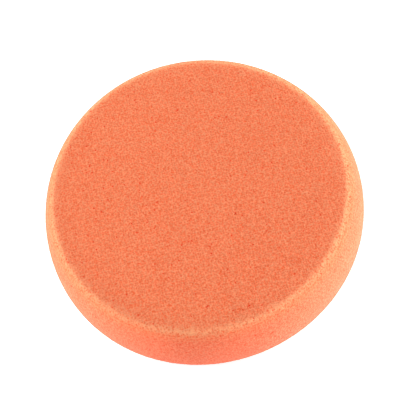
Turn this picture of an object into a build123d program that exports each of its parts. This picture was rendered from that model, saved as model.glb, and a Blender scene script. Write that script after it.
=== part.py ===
from build123d import *
import os

# Polishing pad for a rotary or orbital machine, in millimetres.
# A disc of open-cell foam has a loop disc bonded to its back, and the machine's hook plate grips the loops.
# The origin is the centre of the loop back's outer plane. +Z is the pad's axis and points out of the working
# face, so the pad stands on its loops.

# Whole pad
pad_diameter = 150.0
pad_height = 30.0

# Foam disc: its side is a shallow arc that leans in from the widest line to the working face
face_diameter = 136.0
face_edge_round = 4.5
back_edge_round = 3.5

# Loop back, from the outside inwards
loop_diameter = 140.0
pile_height = 1.5
pile_edge_round = 0.6
ground_thickness = 0.5
bond_thickness = 0.3

# Heights of the layers above the plane that the loops stand on
ground_z = pile_height
bond_z = ground_z + ground_thickness
foam_z = bond_z + bond_thickness
widest_z = foam_z + back_edge_round

# Radii of the foam disc's profile
pad_radius = pad_diameter / 2
face_radius = face_diameter / 2
foam_back_radius = pad_radius - back_edge_round
loop_radius = loop_diameter / 2

os.makedirs("parts", exist_ok=True)

# Foam disc: half its section, drawn from the axis outwards and turned about Z
with BuildPart() as foam_body:
    with BuildSketch(Plane.XZ):
        with BuildLine():
            back = Line((0, foam_z), (foam_back_radius, foam_z))
            back_edge = TangentArc(back @ 1, (pad_radius, widest_z), tangent=(1, 0))
            side = TangentArc(back_edge @ 1, (face_radius, pad_height), tangent=(0, 1))
            face = Line(side @ 1, (0, pad_height))
            Line(face @ 1, back @ 0)
        make_face()
    revolve(axis=Axis.Z)
    fillet(foam_body.edges().filter_by(GeomType.CIRCLE).sort_by(Axis.Z)[-1], radius=face_edge_round)
foam_body.part.label = "foam_body"

# Heat-activated adhesive film between the foam and the loop fabric
with BuildPart() as bond_film:
    with BuildSketch(Plane.XY.offset(bond_z)):
        Circle(loop_radius)
    extrude(amount=bond_thickness)
bond_film.part.label = "bond_film"

# Knitted ground of the loop fabric, which carries the loops
with BuildPart() as loop_ground:
    with BuildSketch(Plane.XY.offset(ground_z)):
        Circle(loop_radius)
    extrude(amount=ground_thickness)
loop_ground.part.label = "loop_ground"

# The loops' pile as one closed disc, with its free outer edge rounded as loops lean out at a cut edge
with BuildPart() as loop_pile:
    with BuildSketch(Plane.XY):
        Circle(loop_radius)
    extrude(amount=pile_height)
    fillet(loop_pile.edges().filter_by(GeomType.CIRCLE).sort_by(Axis.Z)[0], radius=pile_edge_round)
loop_pile.part.label = "loop_pile"

for piece in (foam_body, bond_film, loop_ground, loop_pile):
    export_step(piece.part, f"parts/{piece.part.label}.step")
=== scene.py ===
import math

import bpy
import numpy as np
from mathutils import Matrix, Vector


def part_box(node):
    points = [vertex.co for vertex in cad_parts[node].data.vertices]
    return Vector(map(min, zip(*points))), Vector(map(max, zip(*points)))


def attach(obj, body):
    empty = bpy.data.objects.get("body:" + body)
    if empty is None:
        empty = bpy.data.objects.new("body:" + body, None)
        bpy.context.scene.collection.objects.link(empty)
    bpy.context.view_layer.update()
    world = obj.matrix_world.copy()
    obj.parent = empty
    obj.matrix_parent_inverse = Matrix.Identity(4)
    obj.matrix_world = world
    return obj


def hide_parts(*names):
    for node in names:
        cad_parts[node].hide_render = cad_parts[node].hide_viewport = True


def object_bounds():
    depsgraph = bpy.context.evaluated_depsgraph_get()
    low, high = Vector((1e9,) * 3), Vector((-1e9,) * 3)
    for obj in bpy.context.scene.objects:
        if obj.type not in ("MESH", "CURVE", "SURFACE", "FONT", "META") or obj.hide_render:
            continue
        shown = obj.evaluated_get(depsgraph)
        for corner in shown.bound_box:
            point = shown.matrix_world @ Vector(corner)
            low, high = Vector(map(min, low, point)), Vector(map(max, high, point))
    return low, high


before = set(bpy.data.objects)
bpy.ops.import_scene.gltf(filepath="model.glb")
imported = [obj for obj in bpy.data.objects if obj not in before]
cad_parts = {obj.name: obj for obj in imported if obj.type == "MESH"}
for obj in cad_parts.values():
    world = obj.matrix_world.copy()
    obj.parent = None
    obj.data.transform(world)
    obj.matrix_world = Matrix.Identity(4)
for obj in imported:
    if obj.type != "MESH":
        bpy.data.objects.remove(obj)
CAD_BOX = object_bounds()

MM = 0.001

# The foam disc's section, as the CAD has it
FOAM_LOW, FOAM_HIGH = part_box("foam_body")
PAD_RADIUS = FOAM_HIGH.x
FACE_Z = FOAM_HIGH.z
BACK_Z = FOAM_LOW.z
FACE_RADIUS = 68 * MM
FACE_EDGE_ROUND = 4.5 * MM
BACK_EDGE_ROUND = 3.5 * MM

# The layers under it
LOOP_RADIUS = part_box("loop_pile")[1].x
PILE_LOW_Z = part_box("loop_pile")[0].z
GROUND_LOW, GROUND_HIGH = (corner.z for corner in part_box("loop_ground"))
FILM_LOW, FILM_HIGH = (corner.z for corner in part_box("bond_film"))

# The foam's mesh: its points' spacing, how far they stand in or out, and how it coarsens where it is hidden
SEED = 7
CELL = 0.6 * MM
SCATTER = 0.3
ARC_STEP = 0.05 * MM
COARSENING = 1.35
FINE_OVERLAP = 1.5 * MM
BACK_BORDER = 0.5 * MM
ROUGHNESS = 0.035 * MM
TONE_LIMIT = 2.5
TINY = 1e-6

# Open pores: the share of points, and the least and most of the full depth, first the wide ones
PORES = ((0.004, 0.7, 1.0), (0.02, 0.2, 0.55))
PORE_DEPTH = 0.2 * MM

# The face's rim is a little lower than its middle, and the cut has shallow lobes
RIM_START = 55 * MM
RIM_FOOT_Z = FACE_Z - 6 * MM
RIM_DROP = 0.5 * MM
LOBES = 3
LOBE_HEIGHT = 0.2 * MM
LOBE_TURN = math.radians(-67)

# The edge of the face is paler, partly from its torn cut struts and partly as a painted highlight where
# light comes through the thin edge, and more of that reaches onto the face. Its place is along the section
EDGE_PALE_AND_HIGHLIGHT_AMOUNT = 0.72
EDGE_PLACE = 67.4 * MM
EDGE_ON_FACE = 1.9 * MM
EDGE_ON_SIDE = 1.2 * MM

# How red and how pale the side is at depths below the face, as shares of the foam's height. The side is
# redder than the face, and near the bottom the redness rises again as painted shade; the paleness is a
# painted sheen
SIDE_DEPTHS = (0.04, 0.2, 0.45, 0.7, 0.95)
SIDE_REDNESS_AND_SHADE = (0.0, 0.3, 0.28, 0.2, 0.3)
SIDE_PAINTED_SHEEN = (0.0, 0.05, 0.2, 0.55, 0.55)
# Lower on the side the grain is weaker, and with it the painted shade in the cells' mouths and pores
SIDE_GRAIN = 0.85
SIDE_GRAIN_START = 4 * MM

# The adhesive film: waves round its rim as count, size and phase
FILM_SPOKES = 480
FILM_RINGS = 10
FILM_WAVES = ((7, 0.10 * MM, 0.4), (17, 0.07 * MM, 2.1), (41, 0.05 * MM, 5.0), (97, 0.04 * MM, 1.3))
FILM_WAVE_POWER = 8

# The knitted ground: wales run along X, and courses cross them
GROUND_STEP = 0.5 * MM
GROUND_BORDER = 0.4 * MM
GROUND_RIM_STEP = 0.1 * MM
GROUND_RELIEF = 0.2 * MM
FACES_DOWN = -0.9
WALE = 1.55 * MM
WALE_SHARE = 0.65
COURSE = 1.1 * MM

# The yarn loops
LOOP_PITCH_X = 1.6 * MM
LOOP_PITCH_Y = 1.55 * MM
LOOP_SCATTER = 0.22 * MM
LOOP_BORDER = 0.9 * MM
LOOP_WIDTHS = (0.8 * MM, 1.35 * MM)
LOOP_HEIGHTS = (0.82, 1.0)
LOOP_BULGE = 0.35
LOOP_ARCH = 0.75
LOOP_HEADING = 0.6
LOOP_LEAN = 0.3
LOOP_SPLAY = 0.8
LOOP_SPLAY_POWER = 12
LOOP_STEPS = 5
YARN_RADIUS = 0.15 * MM
YARN_ROOM = 1.3 * YARN_RADIUS
YARN_SIDES = 3


# ---------------------------------------------------------------- helpers

def new_mesh(name, points, faces, smooth=True):
    """A mesh object made from point and face lists, linked to the scene."""
    mesh = bpy.data.meshes.new(name)
    mesh.from_pydata(points, [], faces)
    mesh.validate()
    mesh.polygons.foreach_set("use_smooth", [smooth] * len(mesh.polygons))
    mesh.update()
    piece = bpy.data.objects.new(name, mesh)
    bpy.context.scene.collection.objects.link(piece)
    return piece


def store(piece, name, values):
    """Keeps one number per point on the mesh, for its material to read."""
    layer = piece.data.attributes.new(name, "FLOAT", "POINT")
    layer.data.foreach_set("value", np.asarray(values, np.float32))


class Tree:
    """A material's node tree, built a node at a time."""

    def __init__(self, name):
        self.material = bpy.data.materials.new(name)
        self.material.use_nodes = True
        self.nodes = self.material.node_tree.nodes
        self.links = self.material.node_tree.links
        self.shader = self.nodes["Principled BSDF"]

    def add(self, kind, inputs=None, **settings):
        """A node with its settings, and its inputs set to values or linked to outputs."""
        node = self.nodes.new("ShaderNode" + kind)
        for key, value in settings.items():
            setattr(node, key, value)
        for key, value in (inputs or {}).items():
            self.put(node, key, value)
        return node

    def put(self, node, key, value):
        """Links an output to an input, or sets the input to a value."""
        socket = node.inputs[key]
        if isinstance(value, bpy.types.NodeSocket):
            self.links.new(value, socket)
        else:
            socket.default_value = value

    def math(self, operation, *values, clamp=False):
        """The output of a Math node."""
        node = self.add("Math", dict(enumerate(values)), operation=operation, use_clamp=clamp)
        return node.outputs[0]

    def mix(self, factor, low, high, blend="MIX"):
        """The output of a colour mix from low to high."""
        node = self.add("Mix", data_type="RGBA", blend_type=blend)
        for socket, value in ((node.inputs[0], factor), (node.inputs[6], low), (node.inputs[7], high)):
            if isinstance(value, bpy.types.NodeSocket):
                self.links.new(value, socket)
            else:
                socket.default_value = value
        return node.outputs[2]

    def span(self, value, low, high, to_low=0.0, to_high=1.0):
        """The output of a Map Range node, clamped and smoothed at both ends."""
        node = self.add("MapRange", {0: value, 1: low, 2: high, 3: to_low, 4: to_high})
        node.interpolation_type = "SMOOTHSTEP"
        return node.outputs[0]

    def place(self):
        """The point's place on the object."""
        return self.add("TexCoord").outputs["Object"]

    def read(self, name):
        """The number that the mesh keeps at each point under this name."""
        return self.add("Attribute", attribute_name=name).outputs["Fac"]

    def noise(self, place, size, detail=0.0):
        """Smooth noise about one half, with blobs of this size."""
        return self.add("TexNoise", {"Vector": place, "Scale": 1 / size, "Detail": detail}).outputs["Fac"]

    def cells(self, place, size, randomness=1.0):
        """The distance from the middle of the nearest cell of this size, in cells."""
        node = self.add("TexVoronoi", {"Vector": place, "Scale": 1 / size, "Randomness": randomness})
        return node.outputs["Distance"]

    def bump(self, height, strength, distance):
        """The normal of a surface raised by this height."""
        node = self.add("Bump", {"Height": height, "Strength": strength, "Distance": distance})
        return node.outputs["Normal"]

    def surface(self, settings):
        """Sets or links the shader's inputs, and gives the material."""
        for key, value in settings.items():
            self.put(self.shader, key, value)
        return self.material


# ---------------------------------------------------------------- the foam's shape

def arc(centre, radius, start, end, step=ARC_STEP):
    """Points and outward normals (r, z, nr, nz) along an arc of the section, angles in radians."""
    count = max(4, int(abs(end - start) * radius / step))
    angle = np.linspace(start, end, count)
    return np.stack([centre[0] + radius * np.cos(angle), centre[1] + radius * np.sin(angle),
                     np.cos(angle), np.sin(angle)], 1)


def foam_section():
    """The foam disc's section from the face's centre to the back's centre: (r, z, nr, nz) rows."""
    widest = BACK_Z + BACK_EDGE_ROUND
    flare, rise = PAD_RADIUS - FACE_RADIUS, FACE_Z - widest
    side_radius = (flare ** 2 + rise ** 2) / (2 * flare)
    side_centre = (PAD_RADIUS - side_radius, widest)
    drop = FACE_Z - FACE_EDGE_ROUND - widest
    reach = math.sqrt((side_radius - FACE_EDGE_ROUND) ** 2 - drop ** 2)
    edge_centre = (side_centre[0] + reach, FACE_Z - FACE_EDGE_ROUND)
    lean = math.atan2(drop, reach)
    quarter = math.pi / 2
    face = np.array([[0, FACE_Z, 0, 1], [edge_centre[0], FACE_Z, 0, 1]])
    edge = arc(edge_centre, FACE_EDGE_ROUND, quarter, lean)
    side = arc(side_centre, side_radius, lean, 0)
    back_centre = (PAD_RADIUS - BACK_EDGE_ROUND, widest)
    back_edge = arc(back_centre, BACK_EDGE_ROUND, 0, -quarter)
    back = np.array([[back_centre[0], BACK_Z, 0, -1], [0, BACK_Z, 0, -1]])
    return np.concatenate([face, edge[1:], side[1:], back_edge[1:], back[1:]])


def scattered_rings(section, spacing, fine_length, rng):
    """Rings of scattered points on the turned section, sparser past its fine length, where it is hidden."""
    along = np.concatenate([[0], np.cumsum(np.hypot(*np.diff(section[:, :2], axis=0).T))])
    step = spacing * math.sqrt(3) / 2
    rings, here, local = [], 0.0, spacing
    while here < along[-1] - local:
        radius = np.interp(here, along, section[:, 0])
        count = max(1 if here == 0 else 6, round(2 * math.pi * radius / local))
        scatter = 0.0 if count < 7 else SCATTER
        turn = (np.arange(count) + rng.uniform(0, 1) + scatter * rng.uniform(-1, 1, count)) / count
        shift = scatter * step * rng.uniform(-1, 1, count) * (here > 0)
        at = np.clip(here + shift, 0, along[-1])
        row = np.stack([np.interp(at, along, column) for column in (*section.T, along)], 1)
        rings.append((turn * 2 * math.pi, row))
        if here > fine_length:
            local *= COARSENING
        here += local * math.sqrt(3) / 2
    rings.append((np.zeros(1), np.append(section[-1], along[-1])[None]))
    return rings


def stitch(rings):
    """Triangles that zip each ring to the next, whatever their point counts."""
    faces, start = [], 0
    for (upper, _), (lower, _) in zip(rings, rings[1:]):
        n, m = len(upper), len(lower)
        first, second = start, start + n
        order_a, order_b = np.argsort(upper % (2 * math.pi)), np.argsort(lower % (2 * math.pi))
        a = np.append(np.sort(upper % (2 * math.pi)), math.inf)
        b = np.append(np.sort(lower % (2 * math.pi)), math.inf)
        i = j = 0
        while i < n or j < m:
            here_a, here_b = first + order_a[i % n], second + order_b[j % m]
            if a[i] <= b[j]:
                if n > 1:
                    faces.append((here_a, here_b, first + order_a[(i + 1) % n]))
                i += 1
            else:
                if m > 1:
                    faces.append((here_a, here_b, second + order_b[(j + 1) % m]))
                j += 1
        start += n
    return faces


def even_rings(section, count):
    """Rings of evenly spread points on the turned section, with a single point at each of its ends."""
    turn = np.arange(count) * 2 * math.pi / count
    rings = [(turn, np.repeat(row[None], count, 0)) for row in section[1:-1]]
    return [(np.zeros(1), section[:1]), *rings, (np.zeros(1), section[-1:])]


def turned(rings):
    """A closed turned skin: points, outward normals, each point's section row and turn, and triangles."""
    turn = np.concatenate([ring[0] for ring in rings])
    row = np.concatenate([ring[1] for ring in rings])
    radial = np.stack([np.cos(turn), np.sin(turn), np.zeros_like(turn)], 1)
    up = np.array([[0.0, 0.0, 1.0]])
    points = radial * row[:, :1] + up * row[:, 1:2]
    normals = radial * row[:, 2:3] + up * row[:, 3:4]
    return points, normals, row, turn, stitch(rings)


def shape_rim(points, row, turn):
    """Lowers the face's rim, where the foam springs back from the cut, and gives the cut its lobes."""
    toward_rim = np.clip((row[:, 0] - RIM_START) / (FACE_RADIUS - RIM_START), 0, 1)
    toward_face = np.clip((row[:, 1] - RIM_FOOT_Z) / (FACE_Z - RIM_FOOT_Z), 0, 1)
    points[:, 2] -= RIM_DROP * toward_rim ** 2 * toward_face
    lobe = -LOBE_HEIGHT * np.cos(LOBES * (turn - LOBE_TURN)) * row[:, 0] / PAD_RADIUS
    points[:, :2] *= (1 + lobe / PAD_RADIUS)[:, None]


def open_cells(points, normals, row, rng):
    """Moves every point that shows a little in or out, sinks the pores, and gives each one's depth."""
    count = len(points)
    shown = ~((row[:, 1] <= BACK_Z + TINY) & (row[:, 0] < LOOP_RADIUS + BACK_BORDER))
    rough = rng.normal(0, ROUGHNESS, count).clip(-2 * ROUGHNESS, 2 * ROUGHNESS)
    pore = np.zeros(count)
    for share, least, most in PORES:
        chosen = rng.uniform(0, 1, count) < share
        pore[chosen] = rng.uniform(least, most, chosen.sum())
    points += normals * ((rough - pore * PORE_DEPTH) * shown)[:, None]
    return pore


def foam_shades(row):
    """How pale the edge is, partly a painted highlight, how red the side is, with painted shade near the
    bottom, how pale it is by a painted sheen, and how grainy, at each point: the same all round.
    """
    past_edge = row[:, 4] - EDGE_PLACE
    width = np.where(past_edge < 0, EDGE_ON_FACE, EDGE_ON_SIDE)
    depth = (FACE_Z - row[:, 1]) / (FACE_Z - BACK_Z)
    down_side = np.clip(past_edge / SIDE_GRAIN_START, 0, 1)
    return {
        "edge": EDGE_PALE_AND_HIGHLIGHT_AMOUNT * np.exp(-(past_edge / width) ** 2),
        "red": np.interp(depth, SIDE_DEPTHS, SIDE_REDNESS_AND_SHADE),
        "pale": np.interp(depth, SIDE_DEPTHS, SIDE_PAINTED_SHEEN),
        "grain": 1 - (1 - SIDE_GRAIN) * down_side,
    }


def make_foam():
    """The foam disc as one closed skin of scattered cells with open pores."""
    rng = np.random.default_rng(SEED)
    section = foam_section()
    length = np.hypot(*np.diff(section[:, :2], axis=0).T).sum()
    rings = scattered_rings(section, CELL, length - LOOP_RADIUS + FINE_OVERLAP, rng)
    points, normals, row, turn, faces = turned(rings)
    shape_rim(points, row, turn)
    pore = open_cells(points, normals, row, rng)
    foam = new_mesh("foam", points.tolist(), faces)
    store(foam, "pore", pore)
    store(foam, "tone", rng.normal(0, 1, len(points)).clip(-TONE_LIMIT, TONE_LIMIT))
    for name, values in foam_shades(row).items():
        store(foam, name, values)
    return foam


# ---------------------------------------------------------------- the layers under the foam

def disc_section(low, high, rim_step):
    """A loop layer's section from the top's centre round its rim to the underside's centre."""
    half = (high - low) / 2
    rim = arc((LOOP_RADIUS - half, low + half), half, math.pi / 2, -math.pi / 2, rim_step)
    return np.concatenate([[[0, high, 0, 1]], rim, [[0, low, 0, -1]]])


def make_film():
    """The adhesive film: a thin disc whose rim wanders where it was pressed out."""
    section = disc_section(FILM_LOW, FILM_HIGH, ARC_STEP)
    upper = np.linspace(section[0], section[1], FILM_RINGS, endpoint=False)
    lower = np.linspace(section[-1], section[-2], FILM_RINGS, endpoint=False)[::-1]
    section = np.concatenate([upper, section[1:-1], lower])
    points, _, row, turn, faces = turned(even_rings(section, FILM_SPOKES))
    wander = sum(size * np.sin(count * turn + phase) for count, size, phase in FILM_WAVES)
    near_rim = (row[:, 0] / LOOP_RADIUS) ** FILM_WAVE_POWER
    points[:, :2] *= (1 + wander / LOOP_RADIUS * near_rim)[:, None]
    return new_mesh("adhesive_film", points.tolist(), faces)


def make_ground():
    """The knitted ground: rows of wales with courses across them on the side that shows."""
    rng = np.random.default_rng(SEED + 2)
    section = disc_section(GROUND_LOW, GROUND_HIGH, GROUND_RIM_STEP)[::-1]
    rings = scattered_rings(section, GROUND_STEP, LOOP_RADIUS + 2 * GROUND_STEP, rng)
    points, _, row, _, faces = turned(rings)
    faces = [face[::-1] for face in faces]
    underside = (row[:, 3] < FACES_DOWN) & (row[:, 0] < LOOP_RADIUS - GROUND_BORDER)
    wale = np.cos(2 * math.pi * points[:, 1] / WALE)
    course = np.cos(2 * math.pi * (points[:, 0] / COURSE + 0.5 * np.floor(points[:, 1] / WALE)))
    hollow = (WALE_SHARE * (1 - wale) + (1 - WALE_SHARE) * (1 - course)) / 2
    points[:, 2] += underside * GROUND_RELIEF * hollow
    ground = new_mesh("knitted_ground", points.tolist(), faces)
    # The hollows between the wales, which the material greys as painted shade
    store(ground, "hollow", underside * (1 - wale) / 2)
    return ground


def loop_feet(rng):
    """Where the loops stand: staggered rows over the disc, each a little out of place."""
    reach = (-LOOP_RADIUS, LOOP_RADIUS)
    x, y = np.meshgrid(np.arange(*reach, LOOP_PITCH_X), np.arange(*reach, LOOP_PITCH_Y))
    x = x + (np.arange(len(y)) % 2)[:, None] * LOOP_PITCH_X / 2
    foot = np.stack([x.ravel(), y.ravel()], 1)
    foot += rng.uniform(-1, 1, foot.shape) * LOOP_SCATTER
    return foot[np.hypot(foot[:, 0], foot[:, 1]) < LOOP_RADIUS - LOOP_BORDER]


def loop_lines(foot, rng):
    """Each loop's middle line, an arch that is widest below its feet, and its heading."""
    count = len(foot)
    heading = rng.normal(0, LOOP_HEADING, count)
    along = np.stack([np.cos(heading), np.sin(heading)], 1)
    width = rng.uniform(*LOOP_WIDTHS, count)
    height = rng.uniform(*LOOP_HEIGHTS, count) * (GROUND_LOW - PILE_LOW_Z - YARN_ROOM)
    outward = foot / LOOP_RADIUS
    reach = np.hypot(outward[:, 0], outward[:, 1])[:, None]
    lean = rng.normal(0, LOOP_LEAN, (count, 2)) + outward * reach ** LOOP_SPLAY_POWER * LOOP_SPLAY
    step = np.linspace(0, math.pi, LOOP_STEPS + 1)
    deep = np.sin(step) ** LOOP_ARCH
    side = width[:, None] * np.cos(step) * (1 + LOOP_BULGE * np.sin(step)) / 2
    drop = height[:, None] * deep
    line = np.empty((count, len(step), 3))
    line[..., :2] = foot[:, None] + along[:, None] * side[..., None] + lean[:, None] * drop[..., None]
    line[..., 2] = GROUND_LOW + YARN_RADIUS * (1 - deep) - drop
    return line, along


def yarn_round(line, along):
    """Points round each middle line, by loop, step and side, and the faces of the closed yarns."""
    ahead = np.gradient(line, axis=1)
    ahead /= np.linalg.norm(ahead, axis=2, keepdims=True)
    across = np.stack([-along[:, 1], along[:, 0], np.zeros(len(along))], 1)[:, None]
    second = np.cross(ahead, across)
    second /= np.linalg.norm(second, axis=2, keepdims=True)
    first = np.cross(second, ahead)
    angle = (np.arange(YARN_SIDES) * 2 * math.pi / YARN_SIDES)[:, None]
    spoke = np.cos(angle) * first[:, :, None] + np.sin(angle) * second[:, :, None]
    tube = line[:, :, None] + YARN_RADIUS * spoke
    index = np.arange(tube[..., 0].size).reshape(tube.shape[:3])
    here, there = index[:, :-1], index[:, 1:]
    sides = np.stack([here, np.roll(here, -1, 2), np.roll(there, -1, 2), there], -1)
    ends = np.concatenate([index[:, 0, ::-1], index[:, -1]])
    return tube, sides.reshape(-1, 4).tolist() + ends.tolist()


def make_loops():
    """The pile: rows of small yarn loops that hang from the knitted ground and lean every way."""
    rng = np.random.default_rng(SEED + 3)
    line, along = loop_lines(loop_feet(rng), rng)
    tube, faces = yarn_round(line, along)
    loops = new_mesh("yarn_loops", tube.reshape(-1, 3).tolist(), faces)
    store(loops, "tone", np.repeat(rng.uniform(0, 1, len(line)), tube[0, ..., 0].size))
    return loops


# ---------------------------------------------------------------- materials

# The foam's colours in a cell's mouth, on a strut, at its pale edge and in an open pore; the darker, redder
# mouth and pore colours are painted shade, and the edge colour is partly a painted highlight
SHADED_MOUTH_COLOUR = (0.865, 0.128, 0.0425, 1)
FOAM_STRUT = (0.918, 0.325, 0.158, 1)
EDGE_PALE_AND_HIGHLIGHT_COLOUR = (1.0, 0.47, 0.235, 1)
PORE_SHADE_COLOUR = (0.82, 0.045, 0.016, 1)

# What the side's redness (painted shade near the bottom), its paleness (painted sheen) and the painted
# shade in the cells' mouths multiply those colours by
RED_AND_SHADE_MULTIPLIER = (1.0, 0.64, 0.92, 1)
PAINTED_SHEEN_MULTIPLIER = (1.0, 1.0, 1.3, 1)
PAINTED_MOUTH_SHADE = (0.885, 0.865, 0.875, 1)

# The sizes of its grain, and how much each part of the grain adds to the lightness, about its middle
CELL_SIZE = 1.1 * MM
MOUTH_SIZE = 0.95 * MM
CELL_RANDOMNESS = 0.7
CELL_SPAN = (0.15, 0.75)
MOUTH_SPAN = (0.1, 0.8, 1.0, 0.0)
FINE_SIZE = 0.55 * MM
CRUMB_SIZE = 0.4 * MM
CLOUD_SIZE = 7 * MM
STRUT_SHARE = (-0.26, 0.22)
TONE_SHARE = 0.11
FINE_SHARE = 1.05
CLOUD_SHARE = 0.1
GRAIN_MIDDLE = 0.53

# How much the pale edge, partly a painted highlight, shows on mouths and struts, how deep a pore gets its
# full painted shade, and the bumps
EDGE_SPAN = (0.1, 0.9, 0.2, 0.85)
PORE_SPAN = (0.0, 0.75)
CRUMB_SHARE = 2.0
FOAM_BUMP = 0.68
FOAM_BUMP_HEIGHT = 0.12 * MM


def foam_grain(tree, place, grain):
    """How light each place is, from 0 in a cell's mouth, where the darker colour is painted shade, to 1 on
    a strut.
    """
    light = tree.span(tree.cells(place, CELL_SIZE, CELL_RANDOMNESS), *CELL_SPAN, *STRUT_SHARE)
    light = tree.math("MULTIPLY_ADD", tree.read("tone"), TONE_SHARE, light)
    for size, detail, share in ((FINE_SIZE, 1.0, FINE_SHARE), (CLOUD_SIZE, 3.0, CLOUD_SHARE)):
        offset = tree.math("SUBTRACT", tree.noise(place, size, detail), 0.5)
        light = tree.math("MULTIPLY_ADD", offset, share, light)
    return tree.math("MULTIPLY_ADD", light, grain, GRAIN_MIDDLE, clamp=True)


def foam_material():
    """Orange open-cell polyurethane foam, with painted shade redder in its pores and cell mouths, a paler
    face edge that is partly a painted highlight, a redder side with painted shade near the bottom, and a
    painted sheen low on the side.
    """
    tree = Tree("open_cell_foam")
    place, grain = tree.place(), tree.read("grain")
    light = foam_grain(tree, place, grain)
    colour = tree.mix(light, SHADED_MOUTH_COLOUR, FOAM_STRUT)
    # The pale edge: partly torn struts, partly a painted highlight
    edge = tree.math("MULTIPLY", tree.read("edge"), tree.span(light, *EDGE_SPAN))
    colour = tree.mix(edge, colour, EDGE_PALE_AND_HIGHLIGHT_COLOUR)
    # Redder down the side, and near the bottom this is painted shade
    colour = tree.mix(tree.read("red"), colour, RED_AND_SHADE_MULTIPLIER, blend="MULTIPLY")
    # Painted sheen: the side paler and pinker lower down
    colour = tree.mix(tree.read("pale"), colour, PAINTED_SHEEN_MULTIPLIER, blend="MULTIPLY")
    # Painted shade in the cells' mouths, weaker lower on the side
    mouth_shade = tree.span(tree.cells(place, MOUTH_SIZE, CELL_RANDOMNESS), *MOUTH_SPAN)
    colour = tree.mix(tree.math("MULTIPLY", mouth_shade, grain), colour, PAINTED_MOUTH_SHADE, blend="MULTIPLY")
    # Painted shade: the open pores deep red
    pore = tree.math("MULTIPLY", tree.span(tree.read("pore"), *PORE_SPAN), grain)
    colour = tree.mix(pore, colour, PORE_SHADE_COLOUR)
    height = tree.math("MULTIPLY_ADD", tree.noise(place, CRUMB_SIZE), CRUMB_SHARE, light)
    return tree.surface({
        "Base Color": colour,
        "Normal": tree.bump(height, FOAM_BUMP, FOAM_BUMP_HEIGHT),
        "Roughness": 0.9,
        "Specular IOR Level": 0.05,
        "Diffuse Roughness": 0.35,
        "Sheen Weight": 0.05,
        "Sheen Roughness": 0.4,
        "Sheen Tint": (1.0, 0.75, 0.6, 1),
    })


ADHESIVE_DARK = (0.62, 0.55, 0.42, 1)
ADHESIVE_LIGHT = (0.86, 0.82, 0.72, 1)
BUBBLE_SIZE = 0.6 * MM
BUBBLE_SPAN = (0.1, 0.6, 0.5, 1.0)
STREAK_SIZE = 1.5 * MM
ADHESIVE_BUMP_HEIGHT = 0.1 * MM


def adhesive_material():
    """Cured hot-melt adhesive: cream, half glossy, with small bubbles and streaks."""
    tree = Tree("cured_adhesive")
    place = tree.place()
    bubble = tree.span(tree.cells(place, BUBBLE_SIZE), *BUBBLE_SPAN)
    shade = tree.math("MULTIPLY", tree.noise(place, STREAK_SIZE, 4.0), bubble)
    return tree.surface({
        "Base Color": tree.mix(shade, ADHESIVE_DARK, ADHESIVE_LIGHT),
        "Roughness": tree.math("MULTIPLY_ADD", shade, 0.25, 0.3),
        "Normal": tree.bump(shade, 0.4, ADHESIVE_BUMP_HEIGHT),
    })


# The knit's colours; its hollows are greyed by painted shade, and fuzz varies at random
KNIT_LIGHT = (0.80, 0.80, 0.77, 1)
KNIT_SHADE_AND_FUZZ = (0.50, 0.50, 0.48, 1)
FUZZ_SIZE = 0.5 * MM
HOLLOW_SHADE_SHARE = 0.5
KNIT_BUMP_HEIGHT = 0.1 * MM


def ground_material():
    """Warp-knitted polyamide: pale wales with hollows between them greyed by painted shade, and fine
    twisted yarn.
    """
    tree = Tree("knitted_polyamide")
    place = tree.place()
    twist = tree.add("TexWave", {"Vector": place, "Scale": 1 / COURSE, "Distortion": 3.0, "Detail": 2.0})
    fuzz = tree.noise(place, FUZZ_SIZE, 2.0)
    fuzz_share = tree.math("MULTIPLY", fuzz, 1 - HOLLOW_SHADE_SHARE)
    # Painted shade in the hollows between the wales, plus random fuzz
    shade = tree.math("MULTIPLY_ADD", tree.read("hollow"), HOLLOW_SHADE_SHARE, fuzz_share)
    return tree.surface({
        "Base Color": tree.mix(shade, KNIT_LIGHT, KNIT_SHADE_AND_FUZZ),
        "Roughness": tree.math("MULTIPLY_ADD", fuzz, 0.2, 0.65),
        "Sheen Weight": 0.2,
        "Normal": tree.bump(twist.outputs["Fac"], 0.5, KNIT_BUMP_HEIGHT),
    })


YARN_DARK = (0.72, 0.72, 0.69, 1)
YARN_LIGHT = (0.90, 0.90, 0.87, 1)
STRAND_SIZE = 0.12 * MM
YARN_TONE_SHARE = 0.6
YARN_BUMP_HEIGHT = 0.05 * MM


def loop_material():
    """Brushed polyamide yarn: nearly white, slightly shiny, each loop a little lighter or darker."""
    tree = Tree("brushed_polyamide")
    strand = tree.noise(tree.place(), STRAND_SIZE, 2.0)
    strand_share = tree.math("MULTIPLY", strand, 1 - YARN_TONE_SHARE)
    shade = tree.math("MULTIPLY_ADD", tree.read("tone"), YARN_TONE_SHARE, strand_share)
    return tree.surface({
        "Base Color": tree.mix(shade, YARN_DARK, YARN_LIGHT),
        "Roughness": tree.math("MULTIPLY_ADD", strand, 0.2, 0.45),
        "Sheen Weight": 0.3,
        "Normal": tree.bump(strand, 0.4, YARN_BUMP_HEIGHT),
    })


# ---------------------------------------------------------------- camera, light and floor

# The camera looks down on the face, leaning to one side
CAMERA_ELEVATION = math.radians(65.5)
CAMERA_ROLL = math.radians(15.3)
CAMERA_DISTANCE = 430 * MM
CAMERA_LENS = 77.42
CAMERA_SENSOR = 36
CAMERA_CLIP = 10 * MM
AIM_RIGHT = 1.64 * MM
AIM_UP = 2.8 * MM


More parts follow.
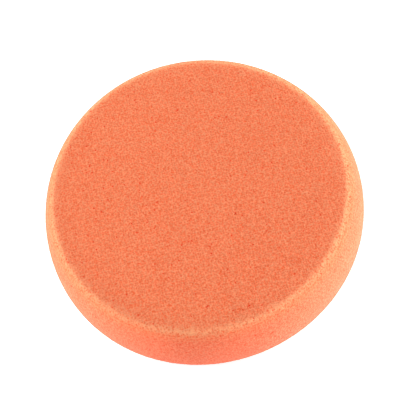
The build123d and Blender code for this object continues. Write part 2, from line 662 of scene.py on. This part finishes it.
def add_camera():
    """A camera at the viewing angle of the pad, aimed near the middle of its base."""
    back = Vector((0, -math.cos(CAMERA_ELEVATION), math.sin(CAMERA_ELEVATION)))
    right = Vector((1, 0, 0))
    up = back.cross(right)
    turned_right = right * math.cos(CAMERA_ROLL) + up * -math.sin(CAMERA_ROLL)
    turned_up = up * math.cos(CAMERA_ROLL) + right * math.sin(CAMERA_ROLL)
    base = Vector((0, 0, CAD_BOX[0].z))
    data = bpy.data.cameras.new("camera")
    data.lens = CAMERA_LENS
    data.sensor_width = CAMERA_SENSOR
    data.clip_start = CAMERA_CLIP
    camera = bpy.data.objects.new("camera", data)
    bpy.context.scene.collection.objects.link(camera)
    camera.location = base + back * CAMERA_DISTANCE
    target = base + turned_right * AIM_RIGHT + turned_up * AIM_UP
    view = (camera.location - target).normalized()
    side = turned_up.cross(view).normalized()
    top = view.cross(side)
    camera.rotation_mode = "QUATERNION"
    camera.rotation_quaternion = Matrix((side, top, view)).transposed().to_quaternion()
    bpy.context.scene.camera = camera


# Softboxes round the pad: name, azimuth, elevation, watts. Azimuth 0 is +X and 90 is towards the viewer, -Y
SOFTBOXES = (
    ("right", 7, 7, 58),
    ("left_low", 207, 7, 34),
    ("left_high", 207, 50, 19),
    ("front", 107, 7, 14.8),
    ("back", 287, 7, 14),
)
SOFTBOX_DISTANCE = 1.5
SOFTBOX_WIDTH = 1.0
SOFTBOX_HEIGHT = 0.3


def add_softbox(name, azimuth, elevation, watts):
    """A rectangular area light that faces the middle of the pad."""
    azimuth, elevation = math.radians(azimuth), math.radians(elevation)
    level = Vector((math.cos(azimuth), -math.sin(azimuth), 0))
    way = level * math.cos(elevation) + Vector((0, 0, math.sin(elevation)))
    data = bpy.data.lights.new(name, "AREA")
    data.shape = "RECTANGLE"
    data.size = SOFTBOX_WIDTH
    data.size_y = SOFTBOX_HEIGHT
    data.energy = watts
    light = bpy.data.objects.new(name, data)
    bpy.context.scene.collection.objects.link(light)
    light.location = Vector((0, 0, FACE_Z / 2)) + way * SOFTBOX_DISTANCE
    light.rotation_mode = "QUATERNION"
    light.rotation_quaternion = way.to_track_quat("Z", "Y")
    light.visible_camera = False


def add_world():
    """A white backdrop that the camera sees, and that lights nothing."""
    world = bpy.data.worlds.new("studio")
    bpy.context.scene.world = world
    world.use_nodes = True
    background = world.node_tree.nodes["Background"]
    path = world.node_tree.nodes.new("ShaderNodeLightPath")
    world.node_tree.links.new(path.outputs["Is Camera Ray"], background.inputs["Strength"])
    background.inputs["Color"].default_value = (1, 1, 1, 1)


# The floor, whose glow is seen by the camera alone and grows with the distance from the pad
FLOOR_HALF = 4.0
FLOOR_COLOUR = (0.9, 0.9, 0.9, 1)
FLOOR_NEAR, FLOOR_FAR = 0.12, 0.45
GLOW_NEAR, GLOW_FAR = 0.6, 1.0


def floor_material():
    """Plain white paper."""
    tree = Tree("floor")
    reach = tree.add("VectorMath", {0: tree.place()}, operation="LENGTH").outputs["Value"]
    glow = tree.span(reach, FLOOR_NEAR, FLOOR_FAR, GLOW_NEAR, GLOW_FAR)
    path = tree.add("LightPath")
    return tree.surface({
        "Base Color": FLOOR_COLOUR,
        "Roughness": 1.0,
        "Specular IOR Level": 0.0,
        "Emission Color": (1, 1, 1, 1),
        "Emission Strength": tree.math("MULTIPLY", path.outputs["Is Camera Ray"], glow),
    })


def add_floor():
    """A plain pale floor under the pad."""
    corners = [(x * FLOOR_HALF, y * FLOOR_HALF, 0) for x, y in ((-1, -1), (1, -1), (1, 1), (-1, 1))]
    floor = new_mesh("floor", corners, [(0, 1, 2, 3)], smooth=False)
    floor.location.z = CAD_BOX[0].z
    floor.data.materials.append(floor_material())


# ---------------------------------------------------------------- build

foam = make_foam()
film = make_film()
ground = make_ground()
loops = make_loops()
for piece, material, node, slot in (
    (foam, foam_material(), "foam_body", "foam"),
    (film, adhesive_material(), "bond_film", "adhesive"),
    (ground, ground_material(), "loop_ground", "loop_ground"),
    (loops, loop_material(), "loop_pile", "loop_pile"),
):
    piece.data.materials.append(material)
    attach(piece, "root")
    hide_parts(node)

add_camera()
add_floor()
add_world()
for softbox in SOFTBOXES:
    add_softbox(*softbox)

bpy.context.scene.view_settings.view_transform = "Standard"
